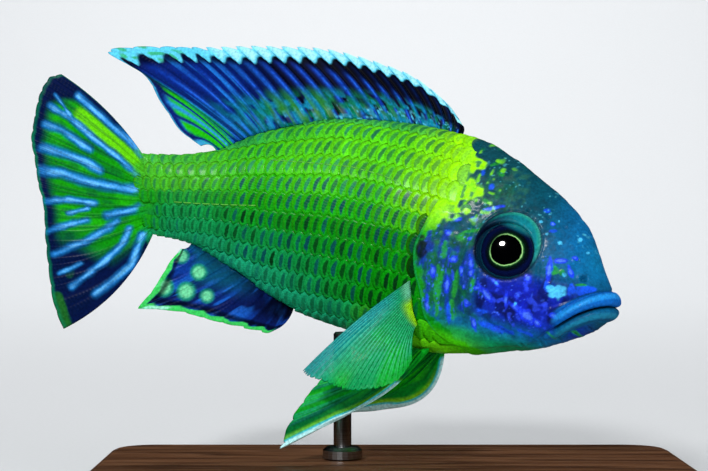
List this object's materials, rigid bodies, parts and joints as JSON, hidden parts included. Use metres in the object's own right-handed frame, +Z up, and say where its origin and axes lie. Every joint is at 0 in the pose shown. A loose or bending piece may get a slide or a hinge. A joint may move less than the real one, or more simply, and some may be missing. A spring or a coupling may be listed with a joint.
{
  "type": "peacock cichlid display model",
  "caption": "Life-size still model of a male peacock cichlid, bent in a gentle turn with all fins spread, held over a flat wooden base by one short steel rod.",
  "frame": {"origin": "centre of the underside of the stand's base", "axes": "+X the way the fish faces, +Y to the fish's left, +Z up"},
  "size_m": [0.1401, 0.06, 0.0965],
  "materials": {
    "flank_skin": "scaled lime-green skin with dark teal scale marks",
    "face_skin": "smooth blue and teal skin",
    "eye": "clear wet eye, dark with a thin gold rim",
    "fin_blue": "thin blue membrane over rays",
    "fin_green": "thin green membrane over rays",
    "stand_wood": "dark oiled wood",
    "stand_steel": "brushed steel"
  },
  "bodies": {
    "root": {"head": "face_skin", "lower_jaw": "face_skin", "gill_cover_right": "face_skin", "gill_cover_left": "face_skin", "eye_right": "eye", "eye_left": "eye", "torso": "flank_skin", "tail": "flank_skin", "dorsal_fin": "fin_blue", "anal_fin": "fin_blue", "tail_fin": "fin_green", "pelvic_fin_right": "fin_green", "pelvic_fin_left": "fin_green", "pectoral_fin_right": "fin_green", "pectoral_fin_left": "fin_green", "stand_base": "stand_wood", "stand_rod": "stand_steel"}
  },
  "joints": []
}
